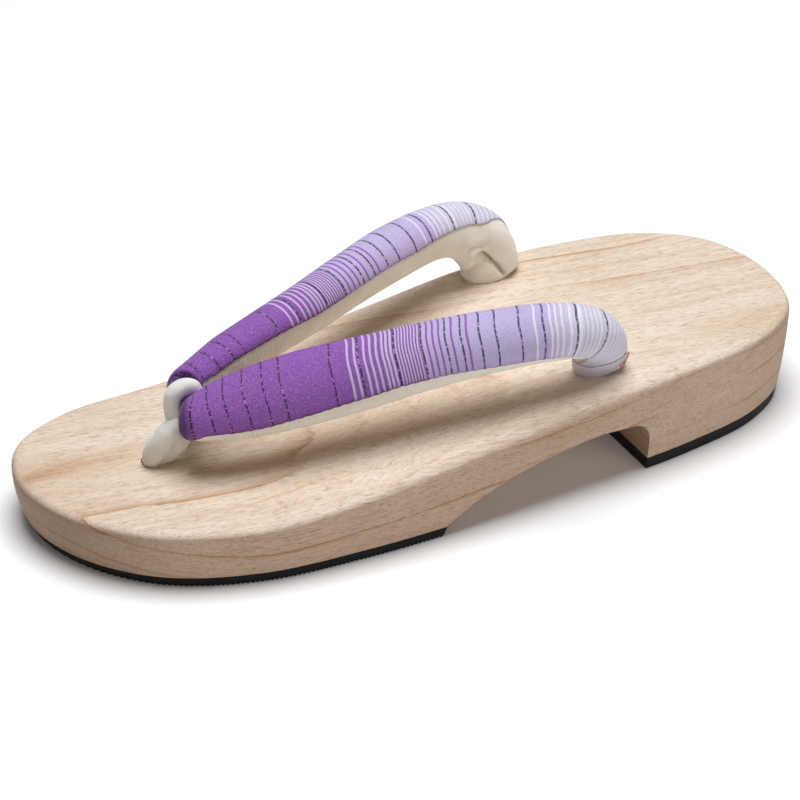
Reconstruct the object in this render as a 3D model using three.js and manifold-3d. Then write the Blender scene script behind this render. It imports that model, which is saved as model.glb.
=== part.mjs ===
// A geta sandal for the left foot: a low carved wooden base on two rubber soles, a pair of padded
// straps that meet in a V, and a soft loop that ties the V down between the toes.
// Millimetres. +Z is up, the toe points to -Y, and the outer side of the foot is +X.
import * as THREE from 'three';
import { mergeVertices } from 'three/addons/utils/BufferGeometryUtils.js';
import Module from 'manifold-3d';

const wasm = await Module();
wasm.setup();

// ---- driving dimensions ----------------------------------------------------------------------

const LENGTH = 240;             // toe to heel
const GAP = 0.3;                // between pieces that touch
const SHIFT_X = -0.8;           // brings the middle of the whole sandal's box to X = 0

// The base seen from above: how far each side stands from the toe-heel line, a row per section.
const OUTLINE = [
  { y: -114, outer: 12.8, inner: 27.2 },
  { y: -97, outer: 32.1, inner: 37.1 },
  { y: -71, outer: 43.2, inner: 39.9 },
  { y: -37, outer: 46.5, inner: 40.4 },
  { y: 0, outer: 46.0, inner: 42.2 },
  { y: 37, outer: 44.0, inner: 44.1 },
  { y: 71, outer: 40.3, inner: 43.0 },
  { y: 97, outer: 33.8, inner: 37.5 },
  { y: 114, outer: 21.4, inner: 23.9 },
];
const TOE_TIP_X = -8.6;
const HEEL_TIP_X = -1.1;

const TOE_TOP = 18.0;           // footbed above the ground at the forefoot
const HEEL_TOP = 30.4;          // and at the heel
const RISE_FROM_Y = -75;        // the footbed climbs between these two
const RISE_TO_Y = 45;
const DISH = 0.6;               // the footbed is this much lower in its middle

const EDGE_RADIUS = 2.4;        // round of the footbed's edge at toe and heel
const WAIST_EDGE_RADIUS = 6.0;  // and where it is widest, at the waist
const WAIST_Y = 15;
const WAIST_SPREAD = 60;
const DRAFT_SIDE = 1.6;         // how far the wall comes in by the ground, along the sides
const DRAFT_TOE = 4.0;
const DRAFT_HEEL = 2.6;

const FORE_RUBBER = 3.2;        // thickness of the forefoot sole
const HEEL_RUBBER = 4.0;
const FORE_END_Y = -13.9;       // the forefoot sole ends here
const HEEL_FRONT_Y = 53.6;      // the heel block starts here
const ARCH_TOP = 18.4;          // highest point of the arch above the ground
const ARCH_TOP_Y = 37;
const ARCH_FALL = 0.8;          // the arch drops this much towards the heel block
const ARCH_FILLET = 8;
const ARCH_PULLS = [            // y and z of the two points that the arch's front slope bends to
  { y: -3, z: 12 },
  { y: 13, z: ARCH_TOP - 1 },
];

const STRAP_MID_TOE = { x: 0.5, y: -84 };      // the straps' middle line at the toe
const STRAP_MID_HEEL = { x: -2.75, y: 44.5 };  // and at the heel, midway between the rear holes
const FRONT_HOLE = { x: -2.1, y: -82.4, radius: 3.4 };
const REAR_HOLE_SPREAD = 32.2;  // rear holes from the straps' middle line
const REAR_HOLE_RADIUS = 4.6;

// A strap, a row per section: its middle stands `out` from the straps' middle line, its section
// is an ellipse with half sizes `wide` and `thick`, and `tilt` turns the wide axis down on the
// outside, in degrees.
const STRAP = [
  { out: 4.6, y: -76.6, z: 33.6, wide: 2.6, thick: 2.4, tilt: 45 },
  { out: 5.4, y: -75.2, z: 33.6, wide: 5.0, thick: 4.6, tilt: 45 },
  { out: 6.9, y: -72.5, z: 34.0, wide: 6.3, thick: 5.9, tilt: 45 },
  { out: 8.9, y: -65.0, z: 35.6, wide: 8.2, thick: 6.4, tilt: 45 },
  { out: 11.7, y: -55.0, z: 37.8, wide: 9.6, thick: 6.9, tilt: 45 },
  { out: 15.0, y: -42.0, z: 40.1, wide: 10.1, thick: 7.1, tilt: 45 },
  { out: 19.4, y: -26.0, z: 42.5, wide: 9.9, thick: 7.5, tilt: 45 },
  { out: 24.1, y: -10.0, z: 45.3, wide: 9.4, thick: 7.8, tilt: 45 },
  { out: 28.8, y: 6.0, z: 47.5, wide: 8.9, thick: 8.2, tilt: 45 },
  { out: 32.8, y: 22.0, z: 48.3, wide: 8.4, thick: 7.9, tilt: 45 },
  { out: 34.5, y: 32.0, z: 47.0, wide: 8.0, thick: 7.7, tilt: 42 },
  { out: 34.6, y: 38.8, z: 43.4, wide: 7.8, thick: 7.8, tilt: 30 },
  { out: 33.7, y: 42.2, z: 38.2, wide: 7.2, thick: 8.1, tilt: 15 },
  { out: 32.6, y: 43.0, z: 33.2, wide: 6.8, thick: 8.4, tilt: 0 },
];
// The inner strap's tip is slimmer, further back and higher: all of it at the first row, and less
// and less up to this many rows on.
const INNER_TIP = { rows: 4, back: 5.0, up: 3.6, slimmer: 0.28 };
const STRAP_FOOT = { forward: 1.2, sunk: 2, wide: 6.4, thick: 8.2 };   // its end, at the hole
const STRAP_FOOT_CLEARANCE = 0.4;   // under the strap where it sits on the footbed
const STRAP_END_RADIUS = 4.2;       // the gathered end in its hole
const STRAP_END_OVERLAP = 2;        // and how far it runs on into the strap and into the knot
const KNOT = { radius: 5.4, height: 7, forward: 1, below: 0.9 };   // under the arch

const LOOP_Y = -72.8;           // the toe loop's ring goes round the V, in a plane across X
const LOOP_Z = 33.8;
const LOOP_HALF_Y = 4.15;       // to the middle of its cord
const LOOP_HALF_Z = 7.0;
const LOOP_LEAN = 0.13;         // radians, its top towards the toe
const LOOP_CORD = 2.2;          // radius
const NECK_HALF_Y = 1.5;        // the straps' pinched neck inside the ring
const NECK_HALF_Z = 4.0;
const NECK_LENGTH = 12;
// The loop's leg, a row per section, from the ring down into the front hole. `x` is from the
// straps' middle line, `wide` is half its size across X and `thick` is half its size along Y.
const LEG = [
  { x: 1.0, y: -76.0, z: 29.4, wide: 2.2, thick: 2.6 },
  { x: 0.7, y: -77.8, z: 26.6, wide: 3.0, thick: 3.8 },
  { x: 0.0, y: -80.0, z: 23.2, wide: 3.1, thick: 4.0 },
  { x: -1.6, y: -81.8, z: 20.0, wide: 2.9, thick: 3.2 },
  { x: -2.4, y: -82.3, z: 17.6, wide: 2.8, thick: 2.8 },
  { x: -2.6, y: -82.4, z: 14.0, wide: 2.9, thick: 2.9 },
  { x: -2.6, y: -82.4, z: 8.0, wide: 2.9, thick: 2.9 },
];

const ROUND_STEPS = 112;        // points round the base
const OUTLINE_MEASURES = 1600;  // chords that the outline's length is measured by
const ARCH_STEPS = 20;
const STRAP_STEPS = 46;
const STRAP_SIDES = 18;
const HOLE_SIDES = 24;
const KNOT_SIDES = 18;
const KNOT_RINGS = 10;
const LOOP_STEPS = 36;
const LOOP_SIDES = 12;
const LEG_STEPS = 24;
const CUT_MARGIN = 1;           // how far a cutting shape runs on past what it cuts
const WELD = 1e-4;              // corners closer than this are one

// ---- helpers ---------------------------------------------------------------------------------

const smooth = (t) => {
  const u = THREE.MathUtils.clamp(t, 0, 1);
  return u * u * (3 - 2 * u);
};

// A closed three.js geometry as a solid that can be joined and cut.
function toSolid(geometry) {
  const bare = geometry.clone();
  bare.deleteAttribute('normal');
  bare.deleteAttribute('uv');
  const merged = mergeVertices(bare, WELD);
  return new wasm.Manifold(new wasm.Mesh({
    numProp: 3,
    vertProperties: new Float32Array(merged.attributes.position.array),
    triVerts: new Uint32Array(merged.index.array),
  }));
}

function toMesh(name, solid, material) {
  const { vertProperties, triVerts } = solid.getMesh();
  const geometry = new THREE.BufferGeometry();
  geometry.setAttribute('position', new THREE.BufferAttribute(vertProperties, 3));
  geometry.setIndex(new THREE.BufferAttribute(triVerts, 1));
  geometry.computeVertexNormals();
  const mesh = new THREE.Mesh(geometry, material);
  mesh.name = name;
  return mesh;
}

// Moves every vertex of a geometry to the point that `place` gives for it.
function reshape(geometry, place) {
  const position = geometry.attributes.position;
  const from = new THREE.Vector3();
  for (let i = 0; i < position.count; i += 1) {
    from.fromBufferAttribute(position, i);
    const to = place(from);
    position.setXYZ(i, to.x, to.y, to.z);
  }
  return geometry;
}

// ---- the carved base -------------------------------------------------------------------------

// The outline as one closed curve: up the outer side, round the heel, back along the inner side.
const outline = new THREE.CatmullRomCurve3([
  new THREE.Vector3(TOE_TIP_X, -LENGTH / 2, 0),
  ...OUTLINE.map((row) => new THREE.Vector3(row.outer, row.y, 0)),
  new THREE.Vector3(HEEL_TIP_X, LENGTH / 2, 0),
  ...OUTLINE.slice().reverse().map((row) => new THREE.Vector3(-row.inner, row.y, 0)),
], true, 'centripetal');
outline.arcLengthDivisions = OUTLINE_MEASURES;

function footbedHeight(y) {
  const climb = smooth((y - RISE_FROM_Y) / (RISE_TO_Y - RISE_FROM_Y));
  return TOE_TOP + (HEEL_TOP - TOE_TOP) * climb;
}

function edgeRadius(y) {
  const waist = smooth(1 - Math.abs(y - WAIST_Y) / WAIST_SPREAD);
  return EDGE_RADIUS + (WAIST_EDGE_RADIUS - EDGE_RADIUS) * waist;
}

// How far the wall stands in at the ground, for an outline normal that points along `ny`.
function wallDraft(ny) {
  const end = ny < 0 ? DRAFT_TOE : DRAFT_HEEL;
  return DRAFT_SIDE + (end - DRAFT_SIDE) * ny * ny;
}

// The rings of the body from the ground's middle up the wall and over the edge to the middle of
// the footbed: `reach` is 1 at the outline and 0 in the middle, `wall` is 1 at the ground and 0
// under the rounded edge, and `turn` goes round that edge in degrees.
const RINGS = [
  { reach: 0, wall: 1, turn: 0 },
  { reach: 1, wall: 1, turn: 0 },
  ...[0.75, 0.5, 0.25].map((wall) => ({ reach: 1, wall, turn: 0 })),
  ...[0, 22.5, 45, 67.5, 90].map((turn) => ({ reach: 1, wall: 0, turn })),
  ...[0.88, 0.74, 0.58, 0.4, 0.2, 0].map((reach) => ({ reach, wall: 0, turn: 90 })),
];

function bodySolid() {
  const profile = RINGS.map((ring, i) => new THREE.Vector2(ring.reach === 0 ? 0 : 1, i));
  const shell = new THREE.LatheGeometry(profile, ROUND_STEPS);
  const up = new THREE.Vector3(0, 0, 1);
  const middle = new THREE.Vector3();
  reshape(shell, (from) => {
    const ring = RINGS[Math.round(from.y)];
    const turn = (Math.atan2(from.x, from.z) / (2 * Math.PI) + 1) % 1;
    const point = outline.getPointAt(turn);
    const outward = outline.getTangentAt(turn).cross(up).normalize();
    const radius = edgeRadius(point.y);
    const round = THREE.MathUtils.degToRad(ring.turn);
    const inset = wallDraft(outward.y) * ring.wall ** 2 + radius * (1 - Math.cos(round));
    point.addScaledVector(outward, -inset).lerp(middle, 1 - ring.reach);
    const brow = footbedHeight(point.y) - radius;
    point.z = brow * (1 - ring.wall) + radius * Math.sin(round)
      - (ring.turn === 90 ? DISH * (1 - ring.reach ** 2) : 0);
    if (ring.wall === 1) point.z = 0;
    return point;
  });
  return toSolid(shell);
}

// A flat shape in the side view, drawn as (y, z), as a solid right across the base.
function acrossSolid(shape) {
  const width = LENGTH;
  const block = new THREE.ExtrudeGeometry(
    shape, { depth: width, bevelEnabled: false, curveSegments: ARCH_STEPS });
  return toSolid(reshape(block, (from) => new THREE.Vector3(from.z - width / 2, from.x, from.y)));
}

// Everything below the wood: the two rubber soles' room and the arch between them.
function underShape() {
  const far = LENGTH;
  const shape = new THREE.Shape();
  shape.moveTo(-far, -far);
  shape.lineTo(-far, FORE_RUBBER + GAP);
  shape.lineTo(FORE_END_Y, FORE_RUBBER + GAP);
  const [first, second] = ARCH_PULLS;
  shape.bezierCurveTo(first.y, first.z, second.y, second.z, ARCH_TOP_Y, ARCH_TOP);
  shape.lineTo(HEEL_FRONT_Y - ARCH_FILLET, ARCH_TOP - ARCH_FALL);
  shape.quadraticCurveTo(
    HEEL_FRONT_Y, ARCH_TOP - ARCH_FALL, HEEL_FRONT_Y, ARCH_TOP - ARCH_FALL - ARCH_FILLET);
  shape.lineTo(HEEL_FRONT_Y, HEEL_RUBBER + GAP);
  shape.lineTo(far, HEEL_RUBBER + GAP);
  shape.lineTo(far, -far);
  shape.closePath();
  return shape;
}

function slabShape(yFrom, yTo, thickness) {
  const shape = new THREE.Shape();
  shape.moveTo(yFrom, -CUT_MARGIN);
  shape.lineTo(yTo, -CUT_MARGIN);
  shape.lineTo(yTo, thickness);
  shape.lineTo(yFrom, thickness);
  shape.closePath();
  return shape;
}

function holeSolid(x, y, radius, fromZ, toZ) {
  const drill = new THREE.CylinderGeometry(radius, radius, toZ - fromZ, HOLE_SIDES);
  drill.rotateX(Math.PI / 2);
  drill.translate(x, y, (fromZ + toZ) / 2);
  return toSolid(drill);
}

// ---- the straps and the toe loop -------------------------------------------------------------

// X of the straps' middle line, which leans a little to the inner side towards the heel.
function strapMiddleX(y) {
  const along = (y - STRAP_MID_TOE.y) / (STRAP_MID_HEEL.y - STRAP_MID_TOE.y);
  return THREE.MathUtils.lerp(STRAP_MID_TOE.x, STRAP_MID_HEEL.x, along);
}

// Which row of a table of `count` rows the way t = 0 to 1 has come to, and how far to the next.
function rowAt(t, count) {
  const span = count - 1;
  const row = Math.min(Math.floor(t * span), span - 1);
  return { row, between: t * span - row };
}

// A round bar along a curve whose section changes. `sectionAt(t)` gives the two half sizes of the
// ellipse and the direction of its first axis.
function sweptSolid(path, sectionAt, steps, sides) {
  const bar = new THREE.CylinderGeometry(1, 1, 1, sides, steps);
  return toSolid(reshape(bar, (from) => {
    const t = THREE.MathUtils.clamp(0.5 - from.y, 0, 1);
    const { first, second, towards } = sectionAt(t);
    const tangent = path.getTangent(t);
    const firstAxis = towards.clone().addScaledVector(tangent, -towards.dot(tangent)).normalize();
    const secondAxis = tangent.clone().cross(firstAxis);
    return path.getPoint(t)
      .addScaledVector(firstAxis, first * from.x)
      .addScaledVector(secondAxis, second * from.z);
  }));
}

// One strap: `side` is 1 for the outer strap and -1 for the inner one. It rests on `body`.
function strapSolid(side, body) {
  const holeX = strapMiddleX(STRAP_MID_HEEL.y) + side * REAR_HOLE_SPREAD;
  const holeY = STRAP_MID_HEEL.y;
  const footZ = footbedHeight(holeY) + STRAP_FOOT_CLEARANCE;
  const knotZ = ARCH_TOP - KNOT.below;
  const tip = (i) => (side < 0 ? Math.max(0, 1 - i / INNER_TIP.rows) : 0);
  const path = new THREE.CatmullRomCurve3([
    ...STRAP.map((row, i) => new THREE.Vector3(
      strapMiddleX(row.y) + side * row.out,
      row.y + INNER_TIP.back * tip(i),
      row.z + INNER_TIP.up * tip(i))),
    new THREE.Vector3(holeX, holeY - STRAP_FOOT.forward, footZ - STRAP_FOOT.sunk),
  ], false, 'centripetal');
  const sizes = STRAP.map((row, i) => {
    const slim = 1 - INNER_TIP.slimmer * tip(i);
    return new THREE.Vector3(row.wide * slim, row.thick * slim, row.tilt);
  });
  sizes.push(new THREE.Vector3(STRAP_FOOT.wide, STRAP_FOOT.thick, 0));
  const sectionAt = (t) => {
    const { row, between } = rowAt(t, sizes.length);
    const size = sizes[row].clone().lerp(sizes[row + 1], between);
    const tilt = THREE.MathUtils.degToRad(size.z);
    return {
      first: size.x,
      second: size.y,
      towards: new THREE.Vector3(side * Math.cos(tilt), 0, -Math.sin(tilt)),
    };
  };
  const padded = sweptSolid(path, sectionAt, STRAP_STEPS, STRAP_SIDES);
  const raisedBody = body.translate([0, 0, STRAP_FOOT_CLEARANCE]);
  const end = holeSolid(
    holeX, holeY, STRAP_END_RADIUS, knotZ - STRAP_END_OVERLAP, footZ + STRAP_END_OVERLAP);
  const knot = new THREE.SphereGeometry(KNOT.radius, KNOT_SIDES, KNOT_RINGS);
  knot.scale(1, 1, KNOT.height / (2 * KNOT.radius));
  knot.translate(holeX, holeY - KNOT.forward, knotZ - KNOT.height / 2);
  return padded.subtract(raisedBody).add(end).add(toSolid(knot));
}

// The toe loop: an upright oval ring round the V and a leg into the front hole. `grow` swells the
// cord to make the room that the straps leave for it.
function loopSolid(grow) {
  const oval = new THREE.EllipseCurve(0, 0, LOOP_HALF_Y, LOOP_HALF_Z).getPoints(LOOP_STEPS);
  const across = new THREE.Vector3(1, 0, 0);
  const round = new THREE.CatmullRomCurve3(oval.slice(1).map((point) => (
    new THREE.Vector3(0, point.x, point.y).applyAxisAngle(across, LOOP_LEAN))), true);
  const ring = new THREE.TubeGeometry(round, LOOP_STEPS, LOOP_CORD + grow, LOOP_SIDES, true);
  ring.translate(strapMiddleX(LOOP_Y), LOOP_Y, LOOP_Z);
  const path = new THREE.CatmullRomCurve3(
    LEG.map((row) => new THREE.Vector3(strapMiddleX(row.y) + row.x, row.y, row.z)),
    false, 'centripetal');
  const leg = sweptSolid(path, (t) => {
    const { row, between } = rowAt(t, LEG.length);
    return {
      first: THREE.MathUtils.lerp(LEG[row].wide, LEG[row + 1].wide, between) + grow,
      second: THREE.MathUtils.lerp(LEG[row].thick, LEG[row + 1].thick, between) + grow,
      towards: across,
    };
  }, LEG_STEPS, LOOP_SIDES);
  return toSolid(ring).add(leg);
}

function strapsSolid(body) {
  const neck = new THREE.CylinderGeometry(1, 1, NECK_LENGTH, LOOP_SIDES);
  neck.rotateZ(Math.PI / 2);
  neck.scale(1, NECK_HALF_Y, NECK_HALF_Z);
  neck.rotateX(LOOP_LEAN);
  neck.translate(strapMiddleX(LOOP_Y), LOOP_Y, LOOP_Z);
  const pair = strapSolid(1, body).add(strapSolid(-1, body));
  return pair.subtract(loopSolid(GAP)).add(toSolid(neck));
}

// ---- assembly --------------------------------------------------------------------------------

const wood = new THREE.MeshStandardMaterial({ color: 0xdcc4a8, roughness: 0.7, metalness: 0 });
const rubber = new THREE.MeshStandardMaterial({ color: 0x121416, roughness: 0.75, metalness: 0 });
const cloth = new THREE.MeshStandardMaterial({ color: 0x9a6cc0, roughness: 0.85, metalness: 0 });
const velvet = new THREE.MeshStandardMaterial({ color: 0xc6c6ba, roughness: 0.95, metalness: 0 });

const body = bodySolid();
let base = body.subtract(acrossSolid(underShape()));
for (const side of [1, -1]) {
  const x = strapMiddleX(STRAP_MID_HEEL.y) + side * REAR_HOLE_SPREAD;
  base = base.subtract(holeSolid(x, STRAP_MID_HEEL.y, REAR_HOLE_RADIUS, 0, 2 * HEEL_TOP));
}
base = base.subtract(
  holeSolid(FRONT_HOLE.x, FRONT_HOLE.y, FRONT_HOLE.radius, 0, 2 * HEEL_TOP));

const foreSole = body.intersect(acrossSolid(slabShape(-LENGTH, FORE_END_Y, FORE_RUBBER)));
const heelSole = body.intersect(acrossSolid(slabShape(HEEL_FRONT_Y, LENGTH, HEEL_RUBBER)));

const sandal = new THREE.Group();
sandal.add(
  toMesh('wood_base', base, wood),
  toMesh('forefoot_rubber_sole', foreSole, rubber),
  toMesh('heel_rubber_sole', heelSole, rubber),
  toMesh('thong_straps', strapsSolid(body), cloth),
  toMesh('toe_loop', loopSolid(0), velvet),
);
sandal.position.x = SHIFT_X;

export default sandal;
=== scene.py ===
import bisect
import math

import bmesh
import bpy
from mathutils import Matrix, Vector, geometry


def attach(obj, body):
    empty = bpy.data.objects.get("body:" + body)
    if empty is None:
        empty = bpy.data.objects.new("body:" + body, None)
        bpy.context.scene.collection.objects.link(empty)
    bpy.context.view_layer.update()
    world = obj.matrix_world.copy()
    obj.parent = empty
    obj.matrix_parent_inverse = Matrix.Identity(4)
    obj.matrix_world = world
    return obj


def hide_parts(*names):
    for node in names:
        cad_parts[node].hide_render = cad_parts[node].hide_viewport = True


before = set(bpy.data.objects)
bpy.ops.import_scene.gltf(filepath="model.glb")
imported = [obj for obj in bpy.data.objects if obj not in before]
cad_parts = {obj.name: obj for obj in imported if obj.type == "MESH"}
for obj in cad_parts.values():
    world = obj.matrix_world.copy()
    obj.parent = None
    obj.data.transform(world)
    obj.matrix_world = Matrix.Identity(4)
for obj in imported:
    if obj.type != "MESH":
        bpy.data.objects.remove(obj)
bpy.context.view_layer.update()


# ---- camera ----------------------------------------------------------------------------------
# A long lens looks down on the left sandal from beyond the outer side of its toe. Sizes are in
# millimetres, except the floor's and the lights', and spot() puts a drawn point in its place in
# metres.

MM = 0.001
DRAWING_X = -0.8                # the drawing's toe-heel line from the middle of the whole box
VIEW_AZIMUTH = math.radians(62.942)
VIEW_ELEVATION = math.radians(31.895)
VIEW_ROLL = math.radians(0.213)
VIEW_DISTANCE = 800
VIEW_RIGHT = -5.168             # the lens axis passes this far from the middle of the ground
VIEW_UP = 13.37
LENS = 122.2
SENSOR = 36


def spot(point):
    return Vector((point[0] + DRAWING_X, point[1], point[2])) * MM


back = Vector((math.sin(VIEW_AZIMUTH) * math.cos(VIEW_ELEVATION),
               -math.cos(VIEW_AZIMUTH) * math.cos(VIEW_ELEVATION),
               math.sin(VIEW_ELEVATION)))
level = Vector((math.cos(VIEW_AZIMUTH), math.sin(VIEW_AZIMUTH), 0))
upright = back.cross(level)
right = level * math.cos(VIEW_ROLL) + upright * math.sin(VIEW_ROLL)
up = upright * math.cos(VIEW_ROLL) - level * math.sin(VIEW_ROLL)

camera = bpy.data.objects.new("camera", bpy.data.cameras.new("camera"))
camera.data.lens = LENS
camera.data.sensor_width = SENSOR
camera.data.clip_start = 0.01
camera.data.clip_end = 20
camera.matrix_world = (Matrix.Translation(spot(right * VIEW_RIGHT + up * VIEW_UP
                                               + back * VIEW_DISTANCE))
                       @ Matrix((right, up, back)).transposed().to_4x4())
bpy.context.scene.collection.objects.link(camera)
bpy.context.scene.camera = camera
bpy.context.scene.view_settings.view_transform = "Standard"


# ---- floor and light -------------------------------------------------------------------------
# A plain white floor, one broad soft light straight overhead, a weaker warm one low down beyond
# the outer side of the heel, and a little warm light from all round. These sizes are in metres.

FLOOR_HALF = 3.0
FLOOR_GLOW = 0.05
AIR = 0.065
AIR_TINT = (1.0, 0.84, 0.7, 1)
LIGHTS = (                      # name, size, watts, where it stands, tint
    ("key_light", 1.0, 18.7, (-0.12, 0.08, 1.3), (0.975, 1, 1.03)),
    ("near_light", 1.0, 3.4, (1.4, 0.6, 0.52), (1, 0.92, 0.84)),
)


class Wire:
    """One shader socket. Sums written on it become Math nodes, and add() makes any other node."""

    def __init__(self, tree, socket=None):
        self.tree = tree
        self.socket = socket

    def add(self, kind, settings=None, sockets=None, output=0):
        node = self.tree.nodes.new("ShaderNode" + kind)
        for name, value in (settings or {}).items():
            setattr(node, name, value)
        for name, value in (sockets or {}).items():
            if isinstance(value, Wire):
                self.tree.links.new(value.socket, node.inputs[name])
            else:
                node.inputs[name].default_value = value
        return Wire(self.tree, node.outputs[output])

    def sum(self, operation, *values):
        return self.add("Math", {"operation": operation}, dict(enumerate(values)))

    def __add__(self, other):
        return self.sum("ADD", self, other)

    def __sub__(self, other):
        return self.sum("SUBTRACT", self, other)

    def __rsub__(self, other):
        return self.sum("SUBTRACT", other, self)

    def __mul__(self, other):
        return self.sum("MULTIPLY", self, other)

    def __truediv__(self, other):
        return self.sum("DIVIDE", self, other)

    def __pow__(self, other):
        return self.sum("POWER", self, other)

    __radd__ = __add__
    __rmul__ = __mul__

    def within(self, middle, half):
        return self.sum("COMPARE", self, middle, half)

    def rise(self, start, end):
        """0 before start and 1 after end, with a soft turn between them."""
        return self.add("MapRange", {"interpolation_type": "SMOOTHSTEP"},
                        {"Value": self, "From Min": start, "From Max": end})

    def stretched(self, x, y, z):
        return self.add("VectorMath", {"operation": "MULTIPLY"}, {0: self, 1: (x, y, z)})

    def speckle(self, scale, detail=2.0, rough=0.5):
        return self.add("TexNoise", None, {"Vector": self, "Scale": scale, "Detail": detail,
                                           "Roughness": rough})

    def mixed(self, plain, marked, blend="MIX"):
        """The colour `plain` where this mask is 0 and `marked` where it is 1."""
        return self.add("Mix", {"data_type": "RGBA", "blend_type": blend},
                        {0: self, 6: plain, 7: marked}, 2)


def paint(red, green, blue):
    """A colour by its screen values, 0 to 255, as the shader's linear one."""
    return tuple(((c / 255 + 0.055) / 1.055) ** 2.4 for c in (red, green, blue)) + (1.0,)


def new_finish(name, **constants):
    """A material, with a wire for its shader and one for places on the piece in millimetres."""
    material = bpy.data.materials.new(name)
    material.use_nodes = True
    tree = material.node_tree
    shader = tree.nodes["Principled BSDF"]
    for socket, value in constants.items():
        shader.inputs[socket.replace("_", " ")].default_value = value
    place = Wire(tree).add("TexCoord", output=3).stretched(1 / MM, 1 / MM, 1 / MM)
    return material, shader, place


def feed(shader, **wires):
    for socket, wire in wires.items():
        wire.tree.links.new(wire.socket, shader.inputs[socket.replace("_", " ")])


def soft_light(name, size, watts, stand, tint):
    """A round lamp that points at the middle of the ground."""
    lamp = bpy.data.lights.new(name, "AREA")
    lamp.color = tint
    lamp.shape = "DISK"
    lamp.size = size
    lamp.energy = watts
    light = bpy.data.objects.new(name, lamp)
    aim = (-Vector(stand)).to_track_quat("-Z", "Y")
    light.matrix_world = Matrix.Translation(Vector(stand)) @ aim.to_matrix().to_4x4()
    bpy.context.scene.collection.objects.link(light)


air = bpy.data.worlds.new("air")
air.use_nodes = True
air.node_tree.nodes["Background"].inputs["Color"].default_value = AIR_TINT
air.node_tree.nodes["Background"].inputs["Strength"].default_value = AIR
bpy.context.scene.world = air

for light in LIGHTS:
    soft_light(*light)

floor_material, floor_shader, floor_place = new_finish(
    "white_floor", Roughness=0.9, Emission_Color=(1, 1, 1, 1), Emission_Strength=FLOOR_GLOW)
feed(floor_shader, Base_Color=floor_place.speckle(0.02).mixed(paint(250, 250, 250),
                                                             paint(253, 253, 253)))
floor_bm = bmesh.new()
bmesh.ops.create_grid(floor_bm, x_segments=8, y_segments=8, size=FLOOR_HALF)
floor_mesh = bpy.data.meshes.new("floor")
floor_bm.to_mesh(floor_mesh)
floor_bm.free()
floor = bpy.data.objects.new("floor", floor_mesh)
floor_mesh.materials.append(floor_material)
bpy.context.scene.collection.objects.link(floor)


# ---- wooden base -----------------------------------------------------------------------------
# One block of pale, light paulownia, its grain running from toe to heel. The outline is sawn, the
# footbed planed and dished, the edge rounded over, widest at the waist, and the arch cut away
# from below; three holes are drilled for the straps.

LENGTH = 240
OUTLINE = (                     # y, then how far the outer and inner sides stand out
    (-114, 12.8, 27.2), (-97, 32.1, 37.1), (-71, 43.2, 39.9), (-37, 46.5, 40.4), (0, 46.0, 42.2),
    (37, 44.0, 44.1), (71, 40.3, 43.0), (97, 33.8, 37.5), (114, 21.4, 23.9),
)
TOE_TIP_X = -8.6
HEEL_TIP_X = -1.1
TOE_TOP = 18.0
HEEL_TOP = 30.4
RISE_FROM_Y = -75
RISE_TO_Y = 45
DISH = 0.6
EDGE_RADIUS = 2.4
WAIST_EDGE_RADIUS = 6.0
WAIST_Y = 15
WAIST_SPREAD = 60
DRAFT_SIDE = 1.6
DRAFT_TOE = 4.0
DRAFT_HEEL = 2.6
FORE_RUBBER = 3.2
HEEL_RUBBER = 4.0
FORE_END_Y = -13.9
HEEL_FRONT_Y = 53.6
ARCH_TOP = 18.4
ARCH_TOP_Y = 37
ARCH_FALL = 0.8
ARCH_FILLET = 8
ARCH_PULLS = ((-3, 12), (13, ARCH_TOP - 1))     # what the arch's curve leans towards
ARCH_STEPS = 40
FILLET_STEPS = 16
FRONT_HOLE = (-2.1, -82.4, 3.4)     # x, y and radius
REAR_HOLES = ((28.4, 45.2, 3.9), (-34.95, 45.2, 4.2))
BORE_FROM = -5                  # the drill goes from below the ground to over the footbed
BORE_TO = 60
BORE_SIDES = 48
RIM_POINTS = 240
RIM_STEPS = 40                  # points between two of the outline's own
WALL_ROWS = 10
EDGE_ROWS = 8
BED_ROWS = 16
BOARD_EDGE = 0.35               # the small round left on the sawn and drilled edges


def smooth(t):
    t = min(max(t, 0), 1)
    return t * t * (3 - 2 * t)


def through(knots, per_span, closed=False):
    """Points on the smooth curve through the knots, with per_span of them to a span."""
    knots = [Vector(knot) for knot in knots]
    if closed:
        run = [knots[-1], *knots, *knots[:2]]
    else:
        run = [2 * knots[0] - knots[1], *knots, 2 * knots[-1] - knots[-2]]
    points = []
    for a, b, c, d in zip(run, run[1:], run[2:], run[3:]):
        before, here, after = ((q - p).length ** 0.5 for p, q in ((a, b), (b, c), (c, d)))
        leave = ((b - a) / before - (c - a) / (before + here) + (c - b) / here) * here
        arrive = ((c - b) / here - (d - b) / (here + after) + (d - c) / after) * here
        for step in range(per_span):
            t = step / per_span
            points.append(b + leave * t + (3 * (c - b) - 2 * leave - arrive) * t ** 2
                          + (2 * (b - c) + leave + arrive) * t ** 3)
    return points if closed else [*points, knots[-1]]


def lengths(points):
    run = [0.0]
    for a, b in zip(points, points[1:]):
        run.append(run[-1] + (b - a).length)
    return run


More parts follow.
